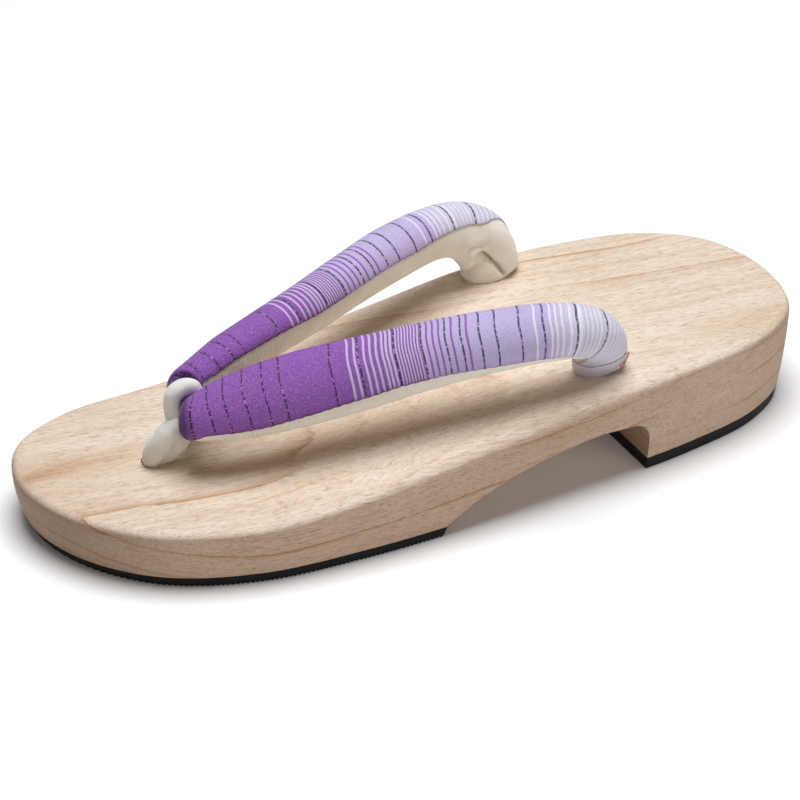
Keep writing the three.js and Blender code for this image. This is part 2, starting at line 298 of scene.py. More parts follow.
def rim_of_base():
    """Points evenly round the outline, and the way out at each."""
    knots = [(TOE_TIP_X, -LENGTH / 2, 0)]
    knots += [(outer, y, 0) for y, outer, _ in OUTLINE]
    knots += [(HEEL_TIP_X, LENGTH / 2, 0)]
    knots += [(-inner, y, 0) for y, _, inner in reversed(OUTLINE)]
    fine = through(knots, RIM_STEPS, closed=True)
    fine.append(fine[0])
    run = lengths(fine)
    points = []
    for i in range(RIM_POINTS):
        want = run[-1] * i / RIM_POINTS
        k = bisect.bisect_right(run, want) - 1
        points.append(fine[k].lerp(fine[k + 1], (want - run[k]) / (run[k + 1] - run[k])))
    ways = [(points[(i + 1) % RIM_POINTS] - points[i - 1]).cross(Vector((0, 0, 1))).normalized()
            for i in range(RIM_POINTS)]
    return points, ways


def footbed(y):
    return TOE_TOP + (HEEL_TOP - TOE_TOP) * smooth((y - RISE_FROM_Y) / (RISE_TO_Y - RISE_FROM_Y))


def edge_radius(y):
    return EDGE_RADIUS + (WAIST_EDGE_RADIUS - EDGE_RADIUS) * smooth(
        1 - abs(y - WAIST_Y) / WAIST_SPREAD)


def draft(ny):
    return DRAFT_SIDE + ((DRAFT_TOE if ny < 0 else DRAFT_HEEL) - DRAFT_SIDE) * ny * ny


def wall_point(i, z):
    """The base's wall at rim point i, as high as z."""
    brow = footbed(rim[i].y) - edge_radius(rim[i].y)
    return rim[i] - rim_way[i] * draft(rim_way[i].y) * (1 - z / brow) ** 2 + Vector((0, 0, z))


def over_edge(i, turn, reach):
    """The rounded edge at rim point i, `turn` round from the wall, or the footbed inside it."""
    radius = edge_radius(rim[i].y)
    point = (rim[i] - rim_way[i] * radius * (1 - math.cos(turn))) * reach
    point.z = footbed(point.y) - radius * (1 - math.sin(turn)) - DISH * (1 - reach ** 2)
    return point


def ring_edges(bm, ring, start=0):
    """The edges of a ring of vertices; with a start of 1, of a row that isn't closed."""
    return [bm.edges.get((ring[i - 1], ring[i])) for i in range(start, len(ring))]


def draw_out(bm, ring, points, start=0):
    """Extrudes a ring or a row of vertices to new points, and gives the new one in its order."""
    edges = ring_edges(bm, ring, start)
    made = bmesh.ops.extrude_edge_only(bm, edges=edges)["geom"]
    fresh = {g for g in made if isinstance(g, bmesh.types.BMVert)}
    new = [next(e.other_vert(v) for e in v.link_edges if e.other_vert(v) in fresh) for v in ring]
    for vert, point in zip(new, points):
        vert.co = point
    return new


def close_ring(bm, ring):
    """Closes a ring of vertices with a fan of triangles."""
    face = bmesh.ops.contextual_create(bm, geom=ring_edges(bm, ring))["faces"]
    bmesh.ops.poke(bm, faces=face)


def stack_rings(rings, looped=False):
    """A closed skin over a stack of rings of points, its ends fanned or joined to each other."""
    bm = bmesh.new()
    ring = bmesh.ops.create_circle(bm, segments=len(rings[0]), radius=1)["verts"]
    for vert, point in zip(ring, rings[0]):
        vert.co = point
    first = ring
    for points in rings[1:]:
        ring = draw_out(bm, ring, points)
    if looped:
        bmesh.ops.bridge_loops(bm, edges=ring_edges(bm, first) + ring_edges(bm, ring))
    else:
        close_ring(bm, first)
        close_ring(bm, ring)
    bmesh.ops.recalc_face_normals(bm, faces=bm.faces[:])
    return bm


def new_object(name, bm, material=None):
    mesh = bpy.data.meshes.new(name)
    bm.to_mesh(mesh)
    bm.free()
    made = bpy.data.objects.new(name, mesh)
    bpy.context.scene.collection.objects.link(made)
    if material:
        mesh.materials.append(material)
    mesh.shade_smooth()
    return made


def settle(made):
    """Makes an object's modifiers part of its mesh."""
    shape = bpy.context.evaluated_depsgraph_get()
    mesh = bpy.data.meshes.new_from_object(made.evaluated_get(shape))
    made.modifiers.clear()
    made.data = mesh


def carve(made, cutter_bm):
    """Cuts a closed shape out of an object."""
    bmesh.ops.recalc_face_normals(cutter_bm, faces=cutter_bm.faces[:])
    cutter = new_object("cutter", cutter_bm)
    cut = made.modifiers.new("cut", "BOOLEAN")
    cut.operation = "DIFFERENCE"
    cut.solver = "EXACT"
    cut.object = cutter
    settle(made)
    bpy.data.objects.remove(cutter)


def across_base(profile):
    """A closed side view, (y, z) points, drawn right across the base."""
    bm = bmesh.new()
    face = bm.faces.new([bm.verts.new(spot((-LENGTH, y, z))) for y, z in profile])
    made = bmesh.ops.extrude_face_region(bm, geom=[face])["geom"]
    bmesh.ops.translate(bm, vec=(2 * LENGTH * MM, 0, 0),
                        verts=[g for g in made if isinstance(g, bmesh.types.BMVert)])
    return bm


def bore(x, y, radius, bottom, top):
    bm = bmesh.new()
    bmesh.ops.create_cone(bm, cap_ends=True, segments=BORE_SIDES, radius1=radius * MM,
                          radius2=radius * MM, depth=(top - bottom) * MM,
                          matrix=Matrix.Translation(spot((x, y, (bottom + top) / 2))))
    return bm


def soften(made, width, segments=2, angle=35):
    bevel = made.modifiers.new("soft_edges", "BEVEL")
    bevel.width = width * MM
    bevel.segments = segments
    bevel.limit_method = "ANGLE"
    bevel.angle_limit = math.radians(angle)
    bevel.harden_normals = True


def bumped(height, depth):
    """A normal from a height wire, where 1 stands `depth` millimetres up."""
    return height.add("Bump", None, {"Height": height, "Distance": depth * MM})


def ready(made, slot, *nodes):
    """Hands a finished piece over: what it rides on and what it stands for; `slot` is not used."""
    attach(made, "root")
    if nodes:
        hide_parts(*nodes)


rim, rim_way = rim_of_base()
every = range(RIM_POINTS)
brows = [footbed(rim[i].y) - edge_radius(rim[i].y) for i in every]
body_rings = [[wall_point(i, brows[i] * row / WALL_ROWS) for i in every]
              for row in range(WALL_ROWS)]
body_rings += [[over_edge(i, math.pi / 2 * row / EDGE_ROWS, 1) for i in every]
               for row in range(EDGE_ROWS + 1)]
body_rings += [[over_edge(i, math.pi / 2, 1 - row / BED_ROWS) for i in every]
               for row in range(1, BED_ROWS)]
wood_base = new_object("carved_base", stack_rings(
    [[spot(point) for point in ring] for ring in body_rings]))

arch_start = Vector((FORE_END_Y, FORE_RUBBER))
arch_peak = Vector((ARCH_TOP_Y, ARCH_TOP))
fillet_start = Vector((HEEL_FRONT_Y - ARCH_FILLET, ARCH_TOP - ARCH_FALL))
fillet_end = Vector((HEEL_FRONT_Y, ARCH_TOP - ARCH_FALL - ARCH_FILLET))
fillet_pull = Vector((HEEL_FRONT_Y, ARCH_TOP - ARCH_FALL))
under = [(-LENGTH, -LENGTH), (-LENGTH, FORE_RUBBER)]
under += [tuple(point) for point in geometry.interpolate_bezier(
    arch_start, *(Vector(pull) for pull in ARCH_PULLS), arch_peak, ARCH_STEPS)]
under += [tuple(point) for point in geometry.interpolate_bezier(
    fillet_start, fillet_start.lerp(fillet_pull, 2 / 3), fillet_end.lerp(fillet_pull, 2 / 3),
    fillet_end, FILLET_STEPS)]
under += [(HEEL_FRONT_Y, HEEL_RUBBER), (LENGTH, HEEL_RUBBER), (LENGTH, -LENGTH)]
carve(wood_base, across_base(under))
for x, y, radius in (FRONT_HOLE, *REAR_HOLES):
    carve(wood_base, bore(x, y, radius, BORE_FROM, BORE_TO))
wood_base.data.shade_smooth()
soften(wood_base, BOARD_EDGE)

# Each pattern below is drawn out along the grain: its factors are waves per millimetre across the
# board, along it and up it.
PITH = (-14, 0, 58)             # from the tree's middle, down under the board, to the origin
RING_WIDTHS = (8.5, 2.3)
RING_SHARPNESS = (17, 6)        # the dark late wood is the last, narrow part of each ring
RING_DRIFT = 12                 # how far the rings wander, and how far their edges fray
RING_FRAY = 1.2
GRAIN_LEAN = 6.5                # degrees, towards the outer side at the heel
wood_material, wood_shader, place = new_finish("paulownia", Specular_IOR_Level=0.3)
grain = place.add("VectorRotate", {"rotation_type": "Z_AXIS"},
                  {"Vector": place, "Angle": math.radians(GRAIN_LEAN)})
drift = grain.stretched(0.022, 0.005, 0.022).speckle(1.0, 3.0, 0.5) * RING_DRIFT
frayed = grain.stretched(1.2, 0.03, 1.2).speckle(1.0, 4.0, 0.7) * RING_FRAY
from_pith = grain.stretched(1, 0.012, 1)
from_pith = from_pith.add("VectorMath", {"operation": "ADD"}, {0: from_pith, 1: PITH})
from_pith = from_pith.add("VectorMath", {"operation": "LENGTH"}, {0: from_pith}, 1)
from_pith = from_pith + drift + frayed
patchy = grain.stretched(0.05, 0.012, 0.05).speckle(1.0, 2.0).rise(0.38, 0.62)
wide_ring, fine_ring = (ring.sum("FRACT", ring) for ring in
                        (from_pith / width for width in RING_WIDTHS))
late_wood = (wide_ring ** RING_SHARPNESS[0] * (0.2 + patchy * 0.8)
             + fine_ring ** RING_SHARPNESS[1] * patchy * 0.3)
fibre = grain.stretched(3.2, 0.1, 3.2).speckle(1.0, 4.0, 0.75)
pores = grain.stretched(3.4, 0.32, 3.4).speckle(1.0, 4.0, 0.75)
open_pores = pores.rise(0.53, 0.66)
cloudy = grain.stretched(0.05, 0.012, 0.05).speckle(1.0, 2.0)
streaks = grain.stretched(0.55, 0.018, 0.55).speckle(1.0, 3.0, 0.6)
facing = place.add("TexCoord", output=1)
upward = facing.add("SeparateXYZ", None, {"Vector": facing}, 2).rise(0.25, 0.75)
end_grain = facing.add("SeparateXYZ", None, {"Vector": facing}, 1)
end_grain = end_grain.sum("ABSOLUTE", end_grain).rise(0.35, 0.95)
tone = cloudy.rise(0.3, 0.7).mixed(paint(245, 230, 214), paint(237, 219, 197))
tone = (streaks.rise(0.45, 0.65) * 0.4).mixed(tone, paint(222, 194, 166))
tone = (fibre.rise(0.42, 0.68) * 0.6).mixed(tone, paint(208, 177, 148))
tone = (late_wood * 0.9).mixed(tone, paint(190, 142, 98))
tone = (open_pores * 0.6).mixed(tone, paint(174, 138, 106))
# Painted shade: faces that don't face up, the walls, are darkened, as the overhead light reaches
# them less.
tone = (1 - upward).mixed(tone, paint(221, 209, 200), "MULTIPLY")
tone = end_grain.mixed(tone, paint(222, 216, 210), "MULTIPLY")
feed(wood_shader, Base_Color=tone, Roughness=0.55 + open_pores * 0.2,
     Normal=bumped(1 - open_pores * 0.5 - late_wood * 0.4 + fibre * 0.5, 0.1))
wood_base.data.materials.append(wood_material)
ready(wood_base, "wood", "wood_base")


# ---- rubber soles ----------------------------------------------------------------------------
# Two slabs of black rubber, cut to the base's outline and glued on under the forefoot and the
# heel block. The forefoot slab has fine ribs right across, and its back end is cut slanting.

RIB_PITCH = 1.3
RIB_FLAT = 0.25                 # each rib's flat foot takes this share of the pitch, and its slope
RIB_SLOPE_END = 0.6             # ends here
RIB_DEPTH = 0.5
RIB_CUT_LOW = -10               # the cut for the ribs goes this far below the ground
FORE_END_SLANT = 0.375
RUBBER_EDGE = 0.25


def sole_slab(name, height):
    """A slab as high as `height` under the whole base, its wall in line with the wood's."""
    levels = (0, height / 3, 2 * height / 3, height)
    rings = [[spot(wall_point(i, z)) for i in every] for z in levels]
    return new_object(name, stack_rings(rings))


def trim(made, point, away):
    """Cuts off what lies beyond a point, and closes the cut."""
    bm = bmesh.new()
    bm.from_mesh(made.data)
    made_cut = bmesh.ops.bisect_plane(
        bm, geom=bm.verts[:] + bm.edges[:] + bm.faces[:], plane_co=spot(point), plane_no=away,
        clear_outer=True)["geom_cut"]
    bmesh.ops.holes_fill(bm, edges=[g for g in made_cut if isinstance(g, bmesh.types.BMEdge)])
    bmesh.ops.recalc_face_normals(bm, faces=bm.faces[:])
    bm.to_mesh(made.data)
    bm.free()


fore_sole = sole_slab("forefoot_rubber", FORE_RUBBER)
trim(fore_sole, (0, FORE_END_Y, FORE_RUBBER), (0, 1, -FORE_END_SLANT))
ribs = [(-LENGTH, RIB_DEPTH)]
for i in range(round(LENGTH / 2 / RIB_PITCH)):
    y = -LENGTH / 2 + i * RIB_PITCH
    ribs += [(y, 0), (y + RIB_PITCH * RIB_FLAT, 0), (y + RIB_PITCH * RIB_SLOPE_END, RIB_DEPTH)]
ribs += [(LENGTH, RIB_DEPTH), (LENGTH, RIB_CUT_LOW), (-LENGTH, RIB_CUT_LOW)]
carve(fore_sole, across_base(ribs))
heel_sole = sole_slab("heel_rubber", HEEL_RUBBER)
trim(heel_sole, (0, HEEL_FRONT_Y, 0), (0, -1, 0))
soften(heel_sole, RUBBER_EDGE)

rubber_material, rubber_shader, place = new_finish("black_rubber", Specular_IOR_Level=0.22)
grit = place.speckle(2.2, 4.0, 0.7)
scuff = place.speckle(0.25, 3.0, 0.6).rise(0.5, 0.75)
feed(rubber_shader, Base_Color=(grit * 0.5 + scuff * 0.5).mixed(paint(8, 9, 10),
                                                                paint(27, 28, 31)),
     Roughness=0.55 + scuff * 0.25, Normal=bumped(grit, 0.05))
for sole, node in ((fore_sole, "forefoot_rubber_sole"), (heel_sole, "heel_rubber_sole")):
    sole.data.materials.append(rubber_material)
    ready(sole, "rubber", node)


# ---- strap padding ---------------------------------------------------------------------------
# Each strap is a roll of padding in cream felt. It starts in a blunt tip beside the toe loop,
# swells, runs back over the foot, turns down behind it and is gathered into its hole in the base.

MIDDLE_TOE = (0.5, -84)         # x and y of the straps' middle line, at the toe and at the heel
MIDDLE_HEEL = (-2.75, 44.5)
INNER_TIP = (5.0, 3.6)          # the inner strap's tip is this much further back and higher,
INNER_TIP_SLIM = 0.28           # and slimmer, less and less up to this many rows on
INNER_TIP_ROWS = 4
OUTER_FOOT_IN = 1.1             # the outer strap's foot is turned in by this much, more and more
FOOT_IN_FROM_ROW = 10           # from this row on, over this many rows
FOOT_IN_ROWS = 3
STRAP = (                       # out from the middle line, y, z, half wide, half thick, tilt
    (4.6, -76.6, 33.6, 2.6, 2.4, 45), (5.4, -75.2, 33.6, 5.0, 4.6, 45),
    (6.9, -72.5, 34.0, 6.3, 5.9, 45), (8.9, -65.0, 35.6, 8.2, 6.4, 45),
    (11.7, -55.0, 37.8, 9.6, 6.9, 45), (15.0, -42.0, 40.1, 10.1, 7.1, 45),
    (19.4, -26.0, 42.5, 9.9, 7.5, 45), (24.1, -10.0, 45.3, 9.4, 7.8, 45),
    (28.8, 6.0, 47.5, 8.9, 8.2, 45), (32.8, 22.0, 48.3, 8.4, 7.9, 45),
    (34.5, 32.2, 47.0, 8.0, 7.7, 42), (34.6, 39.3, 43.4, 7.8, 7.8, 30),
    (33.7, 42.8, 38.2, 7.2, 8.1, 15), (32.6, 43.7, 33.2, 6.8, 8.4, 0),
    (32.4, 43.9, 31.2, 6.5, 8.2, 0), (32.3, 44.2, 30.0, 5.6, 6.8, 0),
    (32.2, 45.0, 28.6, 4.2, 4.2, 0), (32.2, 45.2, 25.0, 4.0, 4.0, 0),
    (32.2, 45.2, 17.2, 4.0, 4.0, 0),
)
STRAP_STEPS = 16                # points between two of these rows
FELT_RADIUS = 8                 # makes an angle round the roll a length on its felt
CREASE_FADE = 5                 # a fold fades out over a fifth of its run, at each end
CREASES = {                     # folds in each felt: arc, angle, then half width and depth
    1: (((122.0, 285), (126.0, 303), (130.0, 312), 0.7, 1.0),),
    -1: (((108.6, 254), (111.0, 241), (113.4, 232), (116.6, 222), (120.4, 198), 0.8, 1.3),
         ((113.0, 250), (117.2, 236), (123.3, 217), (128.2, 200), (130.3, 186), (132.1, 177),
          (133.4, 174), 0.6, 3.2),
         ((9.6, 140), (9.8, 157), (10.6, 186), (10.2, 205), 0.7, 1.2)),
}
LOBES = {                       # where a strap bulges or is drawn in: arc, angle, spreads, height
    1: ((35, 335, 28, 40, 1.3), (125, 268, 5, 30, 1.2), (132, 350, 13, 70, -2.2)),
    -1: ((116, 268, 8, 40, 5.2), (131, 258, 5, 40, 3.0)),
}
BEND_ARC = (119, 8)             # the inside of the bend is smoothed round here: middle, reach
BEND_ANGLE = (277, 30)
BEND_PASSES = 16
ROLL_STEP = 0.6
ROLL_SIDES = 80
SWELL = 0.2                     # the felt starts this much under its sections and swells back,
SWELL_RUN = 6                   # but less at its tip, over this length
SWELL_LIMIT = 0.5
SWELL_PRESSURE = 4
SWELL_STEPS = 20
FELT_MASS = 0.2
FELT_STIFFNESS = 25
FELT_BENDING = 1
HELD_BELOW = HEEL_TOP + 1       # the roll is held still below this height, and in front of this y
HELD_BEFORE_Y = -74


def middle_x(y):
    along = (y - MIDDLE_TOE[1]) / (MIDDLE_HEEL[1] - MIDDLE_TOE[1])
    return MIDDLE_TOE[0] + (MIDDLE_HEEL[0] - MIDDLE_TOE[0]) * along


class Strap:
    """The run of one strap: side is 1 for the outer strap and -1 for the inner one."""

    def __init__(self, side):
        self.side = side
        knots = []
        self.sections = []
        for i, (out, y, z, wide, thick, tilt) in enumerate(STRAP):
            tip = max(0, 1 - i / INNER_TIP_ROWS) if side < 0 else 0
            turned_in = OUTER_FOOT_IN * smooth((i - FOOT_IN_FROM_ROW) / FOOT_IN_ROWS)
            if side < 0:
                turned_in = 0
            knots.append((middle_x(y) + side * out - turned_in, y + INNER_TIP[0] * tip,
                          z + INNER_TIP[1] * tip))
            slim = 1 - INNER_TIP_SLIM * tip
            self.sections.append(Vector((wide * slim, thick * slim, tilt)))
        self.path = through(knots, STRAP_STEPS)
        self.arcs = lengths(self.path)
        self.length = self.arcs[-1]

    def at(self, arc, angle, lift=0.0):
        """A point on the roll, `arc` along it from the tip and `angle` degrees round it."""
        k = min(max(bisect.bisect_right(self.arcs, arc) - 1, 0), len(self.path) - 2)
        between = (arc - self.arcs[k]) / (self.arcs[k + 1] - self.arcs[k])
        middle = self.path[k].lerp(self.path[k + 1], between)
        tangent = (self.path[min(k + 2, len(self.path) - 1)] - self.path[max(k - 1, 0)])
        tangent.normalize()
        row = min((k + between) / STRAP_STEPS, len(STRAP) - 1.001)
        wide, thick, tilt = self.sections[int(row)].lerp(self.sections[int(row) + 1],
                                                         row - int(row))
        tilt = math.radians(tilt)
        wide_axis = Vector((self.side * math.cos(tilt), 0, -math.sin(tilt)))
        wide_axis = (wide_axis - tangent * wide_axis.dot(tangent)).normalized()
        thick_axis = wide_axis.cross(tangent) * self.side
        turn = math.radians(angle)
        return (middle + wide_axis * (wide + lift) * math.cos(turn)
                + thick_axis * (thick + lift) * math.sin(turn))


def crease_depth(side, arc, angle):
    """How far the felt is pressed in at a place on the roll."""
    deepest = 0.0
    here = Vector((arc, math.radians(angle) * FELT_RADIUS))
    for *fold, half, depth in CREASES[side]:
        steps = [Vector((a, math.radians(t) * FELT_RADIUS)) for a, t in fold]
        for i, (a, b) in enumerate(zip(steps, steps[1:])):
            near, along = geometry.intersect_point_line(here, a, b)
            if 0 <= along <= 1:
                run = (i + along) / (len(steps) - 1)
                fade = min(1, CREASE_FADE * run, CREASE_FADE * (1 - run))
                off = (here - near).length / half
                deepest = max(deepest, depth * fade * math.exp(-off ** 2))
    return deepest


def lobe_height(side, arc, angle):
    """How far the felt bulges out at a place on the roll."""
    height = 0.0
    for at_arc, at_angle, arc_spread, angle_spread, tall in LOBES[side]:
        round_way = abs((angle - at_angle + 180) % 360 - 180)
        height += tall * math.exp(-((arc - at_arc) / arc_spread) ** 2
                                  - (round_way / angle_spread) ** 2)
    return height


def padding_roll(strap, name):
    """The roll, with its arc and how far it is creased as attributes on each vertex."""
    count = round(strap.length / ROLL_STEP)
    arcs = [strap.length * i / count for i in range(count + 1)]
    angles = [360 * k / ROLL_SIDES for k in range(ROLL_SIDES)]
    rings = []
    for arc in arcs:
        slim = SWELL * min(1, arc / SWELL_RUN)
        rings.append([spot(strap.at(arc, angle, lobe_height(strap.side, arc, angle) - slim
                                    - crease_depth(strap.side, arc, angle)))
                      for angle in angles])
    bm = stack_rings(rings)
    bm.verts.ensure_lookup_table()
    bend = [bm.verts[i * ROLL_SIDES + k] for i, arc in enumerate(arcs)
            for k, angle in enumerate(angles)
            if math.hypot((arc - BEND_ARC[0]) / BEND_ARC[1],
                          (angle - BEND_ANGLE[0]) / BEND_ANGLE[1]) < 1]
    for _ in range(BEND_PASSES):
        bmesh.ops.smooth_vert(bm, verts=bend, factor=0.5, use_axis_x=True, use_axis_y=True,
                              use_axis_z=True)
    made = new_object(name, bm)
    along = made.data.attributes.new("along", "FLOAT", "POINT")
    # How deep each place is creased, kept for the painted shade in the felt's creases.
    crease_shade = made.data.attributes.new("crease_shade", "FLOAT", "POINT")
    for i in range(len(rings) * ROLL_SIDES):
        arc = arcs[i // ROLL_SIDES]
        along.data[i].value = arc
        crease_shade.data[i].value = crease_depth(strap.side, arc, angles[i % ROLL_SIDES])
    return made


def let_swell(made):
    """Lets a closed roll fill out under its stuffing's pressure, no further than SWELL_LIMIT."""
    before = [vert.co.copy() for vert in made.data.vertices]
    held = made.vertex_groups.new(name="held")
    held.add([i for i, co in enumerate(before)
              if co.z < HELD_BELOW * MM or co.y < HELD_BEFORE_Y * MM], 1.0, "REPLACE")
    cloth = made.modifiers.new("stuffing", "CLOTH")
    cloth.settings.use_pressure = True
    cloth.settings.uniform_pressure_force = SWELL_PRESSURE
    cloth.settings.quality = 6
    cloth.settings.mass = FELT_MASS
    cloth.settings.tension_stiffness = FELT_STIFFNESS
    cloth.settings.compression_stiffness = FELT_STIFFNESS
    cloth.settings.bending_stiffness = FELT_BENDING
    cloth.settings.vertex_group_mass = "held"
    cloth.settings.effector_weights.gravity = 0
    cloth.point_cache.frame_start = 1
    cloth.point_cache.frame_end = SWELL_STEPS
    for step in range(1, SWELL_STEPS + 1):
        bpy.context.scene.frame_set(step)
    shape = made.evaluated_get(bpy.context.evaluated_depsgraph_get()).to_mesh()
    after = [vert.co.copy() for vert in shape.vertices]
    made.modifiers.clear()
    made.vertex_groups.clear()
    bpy.context.scene.frame_set(1)
    for vert, old, new in zip(made.data.vertices, before, after):
        move = new - old
        vert.co = old + move * min(1, SWELL_LIMIT * MM / max(move.length, 1e-9))


FELT_PLEAT = 1.3                # the hem's stitches draw the felt into fine pleats this far apart
PLEATS_FADE = (96, 108)         # and they die away between these arcs
felt_material, felt_shader, place = new_finish("cream_felt", Sheen_Weight=0.35,
                                               Sheen_Roughness=0.6, Specular_IOR_Level=0.15)
fibres = place.speckle(1.7, 5.0, 0.8)
matted = place.speckle(0.16, 3.0, 0.6)
run = place.add("Attribute", {"attribute_name": "along"}, output=2) + (matted - 0.5) * 1.5
pleat_and_shade = (run * (math.tau / FELT_PLEAT)).sum("SINE", run * (math.tau / FELT_PLEAT))
pleat_and_shade = pleat_and_shade * (1 - run.rise(*PLEATS_FADE)) * fibres
crease_shade = place.add("Attribute", {"attribute_name": "crease_shade"}, output=2)
# Painted shade: the pleats darken and lighten the felt's colour in fine bands, as well as bumping
# it.
tone = (matted.rise(0.3, 0.7) * 0.5 + fibres * 0.3
        - pleat_and_shade * 0.12).mixed(paint(255, 251, 240), paint(241, 233, 216))
# Painted shade: the felt is darkened inside its creases, by how deep they are.
feed(felt_shader, Roughness=0.85 + fibres * 0.12,
     Normal=bumped(fibres + matted * 0.8 + pleat_and_shade * 0.4, 0.24),
     Base_Color=(crease_shade.rise(0.6, 3.0) * 0.6).mixed(tone, paint(158, 140, 104)))

straps = {"outer": Strap(1), "inner": Strap(-1)}
rolls = {}
for which, strap in straps.items():
    roll = padding_roll(strap, which + "_strap_padding")
    let_swell(roll)
    puff = roll.modifiers.new("soft_surface", "SUBSURF")
    puff.levels = puff.render_levels = 1
    roll.data.materials.append(felt_material)
    ready(roll, "strap_lining")
    rolls[which] = roll


# ---- strap covers ----------------------------------------------------------------------------
# A woven cover is drawn over the top of each roll and hemmed to the felt along both sides. It is
# dyed from deep purple at the toe to white at the heel, with fine cross stripes and, every few
# millimetres, one dark thread with painted highlights glinting along it.

HEMS = (                        # arc, then the angles of the outer hem and the inner one
    (0.0, -40, 285), (3.0, 10, 225), (6.0, 30, 202), (18, 27, 199), (32, 31, 203), (47, 37, 211),
    (61, 42, 211), (75, 39, 209), (89, 29, 210), (97, 25, 205), (103, 22, 199), (108, 19, 193),
    (111, 13, 188), (114, 8, 180), (116.5, 0, 168), (119, -18, 152), (122, -45, 128),
    (125, -60, 114), (127.5, -78, 110), (129.5, -104, 110), (132, -116, 111), (137, -118, 113),
)
INNER_HEM_LOW = -74             # as far round as the inner strap's cover goes on its foot
INNER_HEM_BACK = 26             # degrees that the inner strap's cover ends short on its foot,
INNER_HEM_ARC = 114             # more and more from this arc on, over this length
INNER_HEM_RUN = 10
COVER_END = 136.5               # the cover runs down to the wood and is tucked into the hole
COVER_STEP = 0.8
COVER_COLUMNS = 44
COVER_LIFT = 0.6                # the sheet is laid out this far off the roll, then drawn tight
COVER_GAP = 0.05
COVER_THICK = 0.45
COVER_RADIUS = 8.5              # makes an angle round the strap a length on its cover
COVER_BOW = 1.5                 # the outer cover's threads lie this far back over its top, more
BOW_FROM = 95                   # and more from this angle on, over this many degrees
BOW_TURN = 60
PATTERN_END = 126.5             # the inner cover is plain from here on
INNER_SLIP = (                  # arc, and how much further on in the pattern the inner cover is
    (0, 6.5), (17, 7.5), (33, 10.0), (58, 10.5), (76, 9.2), (95, 8.2), (112, 7.3), (135, 2.0),
)
HEM_PITCH = 2.8                 # the stitches pull the hem into small scallops
HEM_WAVE = 2.6                  # degrees


def between_rows(table, place_on):
    """A table's columns at a place on its first one, straight between the rows."""
    k = bisect.bisect_right([row[0] for row in table], place_on) - 1
    k = min(max(k, 0), len(table) - 2)
    low, high = table[k], table[k + 1]
    share = min((place_on - low[0]) / (high[0] - low[0]), 1)
    return [a + (b - a) * share for a, b in zip(low[1:], high[1:])]


def hem_angles(side, arc):
    low, high = between_rows(HEMS, arc)
    if side < 0:
        low = max(low, INNER_HEM_LOW)
        high -= INNER_HEM_BACK * smooth((arc - INNER_HEM_ARC) / INNER_HEM_RUN)
    wave = HEM_WAVE * abs(math.sin(math.pi * arc / HEM_PITCH))
    return low - wave, high + wave


def cover_sheet(strap, name, material):
    """The cover as one open sheet, with its place in the pattern on each vertex."""
    bm = bmesh.new()
    along = bm.verts.layers.float.new("along")
    around = bm.verts.layers.float.new("around")
    from_hem = bm.verts.layers.float.new("from_hem")
    from_tip = bm.verts.layers.float.new("from_tip")
    rows = round(COVER_END / COVER_STEP)
    line = [bm.verts.new() for _ in range(COVER_COLUMNS + 1)]
    for pair in zip(line, line[1:]):
        bm.edges.new(pair)
    for row in range(rows + 1):
        arc = COVER_END * row / rows
        low, high = hem_angles(strap.side, arc)
        angles = [low + (high - low) * column / COVER_COLUMNS
                  for column in range(COVER_COLUMNS + 1)]
        points = [spot(strap.at(arc, angle, COVER_LIFT)) for angle in angles]
        if row:
            line = draw_out(bm, line, points, 1)
        for column, (vert, angle, point) in enumerate(zip(line, angles, points)):
            vert.co = point
            if strap.side > 0:
                vert[along] = arc - COVER_BOW * smooth((angle - BOW_FROM) / BOW_TURN)
            else:
                vert[along] = min(arc + between_rows(INNER_SLIP, arc)[0], PATTERN_END)
            vert[from_tip] = arc
            vert[around] = math.radians(angle) * COVER_RADIUS
            columns_in = min(column, COVER_COLUMNS - column)
            turn_in = columns_in * math.radians(high - low)
            vert[from_hem] = turn_in * COVER_RADIUS / COVER_COLUMNS
    bmesh.ops.recalc_face_normals(bm, faces=bm.faces[:])
    bm.faces.ensure_lookup_table()
    middle = bm.faces[len(bm.faces) // 2].calc_center_median()
    inside = min((spot(point) for point in strap.path), key=lambda point: (point - middle).length)
    if bm.faces[len(bm.faces) // 2].normal.dot(middle - inside) < 0:
        bmesh.ops.reverse_faces(bm, faces=bm.faces[:])
    return new_object(name, bm, material)


# The pattern's threads, in millimetres along the strap from its tip.
DARK_THREADS = (3.8, 8.3, 13.1, 18.7, 24.2, 29.0, 43.2, 51.3, 61.7, 69.3, 76.0, 80.2, 85.2, 89.6,
                96.2, 102.5, 111.3, 119.0, 130.0)
WHITE_ON_PURPLE = (48.3, 50.3, 53.1, 54.9, 56.7, 58.4, 59.6, 60.8)
CLOSE_STRIPES = (62.1, 69.0, 0.86)      # from, to and pitch
PURPLE_ON_LILAC = (70.9, 72.6, 74.3, 77.8, 81.9)
WHITE_ON_LILAC = (100.3, 104.5, 106.0, 107.6, 109.7, 112.1, 117.1)
PALE_STRIPES = (112.9, 129.0, 1.25)
DARK_HALF = 0.26                # half the widths of the four kinds of thread
WHITE_ON_PURPLE_HALF = 0.34
WHITE_ON_LILAC_HALF = 0.32
PURPLE_HALF = 0.3
YARN_STRAY = 0.22
LILAC_FROM = (68.4, 69.8)       # where purple turns to lilac, and lilac to white
WHITE_FROM = (103.0, 116.0)
WARP = 12.0                     # radians of the weave's waves to a millimetre, round the strap
WEFT = 14.0                     # and along it
PAINTED_GLINT_PITCH = 2.3               # from one painted glint in a dark thread to the next

